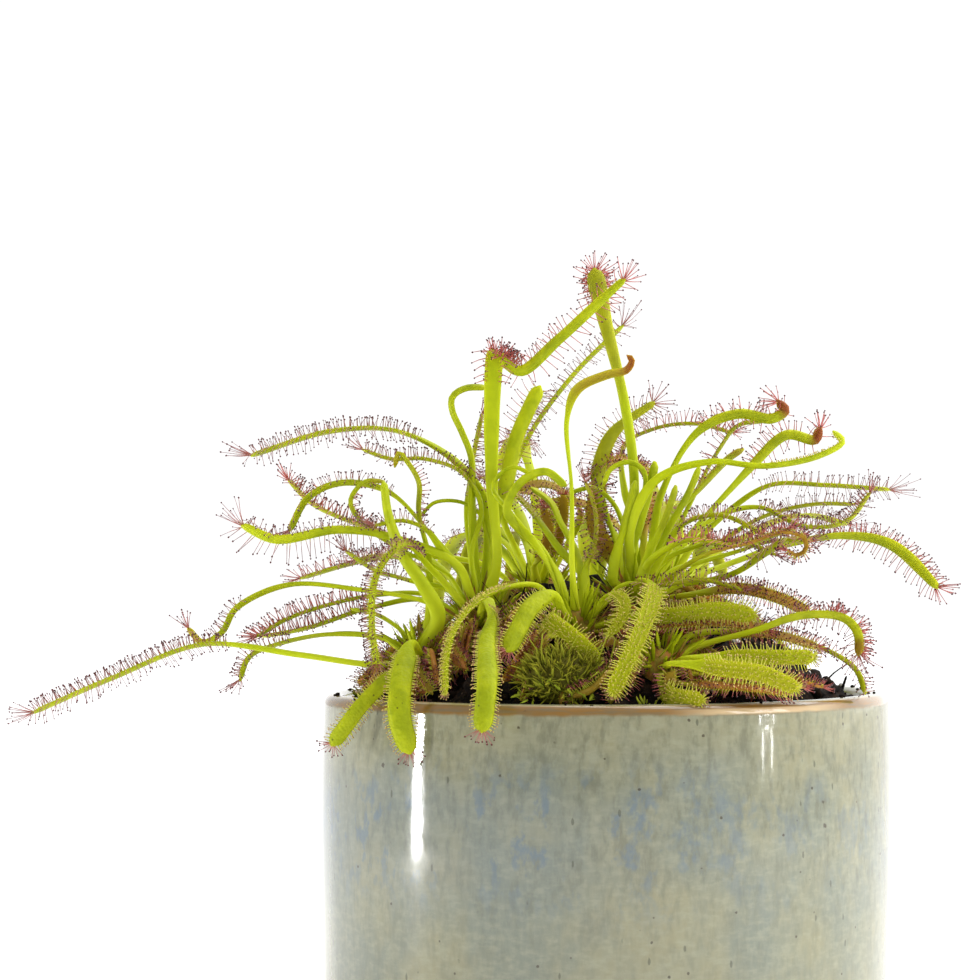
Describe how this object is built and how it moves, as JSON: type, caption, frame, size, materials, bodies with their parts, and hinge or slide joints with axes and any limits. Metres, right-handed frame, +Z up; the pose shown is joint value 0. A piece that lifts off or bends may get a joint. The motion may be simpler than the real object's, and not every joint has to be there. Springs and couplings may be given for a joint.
{
  "type": "potted sundew",
  "caption": "Clump of Cape sundew with long sticky leaves on a mound of peat in a round glazed ceramic pot.",
  "frame": {"origin": "middle of the pot's flat underside, on the surface that the pot stands on", "axes": "+Z up; +X towards the plant's right as seen from its front, where the longest leaf points to -X; +Y towards its back"},
  "size_m": [0.1875, 0.1398, 0.1571],
  "materials": {
    "glazed_pot": "gloss",
    "peat": "matte",
    "crown": "matte",
    "leaf": "satin",
    "moss": "matte"
  },
  "bodies": {
    "root": {"crown_back": "crown", "crown_back_left": "crown", "crown_back_right": "crown", "crown_front": "crown", "crown_left": "crown", "crown_low_left": "crown", "crown_low_right": "crown", "crown_middle": "crown", "leaf_back_1": "leaf", "leaf_back_2": "leaf", "leaf_back_3": "leaf", "leaf_back_4": "leaf", "leaf_back_left_1": "leaf", "leaf_back_left_2": "leaf", "leaf_back_left_3": "leaf", "leaf_back_left_4": "leaf", "leaf_back_left_5": "leaf", "leaf_back_right_1": "leaf", "leaf_back_right_2": "leaf", "leaf_back_right_3": "leaf", "leaf_back_right_4": "leaf", "leaf_back_right_5": "leaf", "leaf_front_1": "leaf", "leaf_front_2": "leaf", "leaf_front_3": "leaf", "leaf_front_4": "leaf", "leaf_front_5": "leaf", "leaf_left_1": "leaf", "leaf_left_10": "leaf", "leaf_left_2": "leaf", "leaf_left_3": "leaf", "leaf_left_4": "leaf", "leaf_left_5": "leaf", "leaf_left_6": "leaf", "leaf_left_7": "leaf", "leaf_left_8": "leaf", "leaf_left_9": "leaf", "leaf_low_left_1": "leaf", "leaf_low_left_2": "leaf", "leaf_low_left_3": "leaf", "leaf_low_left_4": "leaf", "leaf_low_left_5": "leaf", "leaf_low_right_1": "leaf", "leaf_low_right_2": "leaf", "leaf_low_right_3": "leaf", "leaf_low_right_4": "leaf", "leaf_middle_1": "leaf", "leaf_middle_10": "leaf", "leaf_middle_11": "leaf", "leaf_middle_2": "leaf", "leaf_middle_3": "leaf", "leaf_middle_4": "leaf", "leaf_middle_5": "leaf", "leaf_middle_6": "leaf", "leaf_middle_7": "leaf", "leaf_middle_8": "leaf", "leaf_middle_9": "leaf", "moss": "moss", "peat": "peat", "pot": "glazed_pot"}
  },
  "joints": []
}
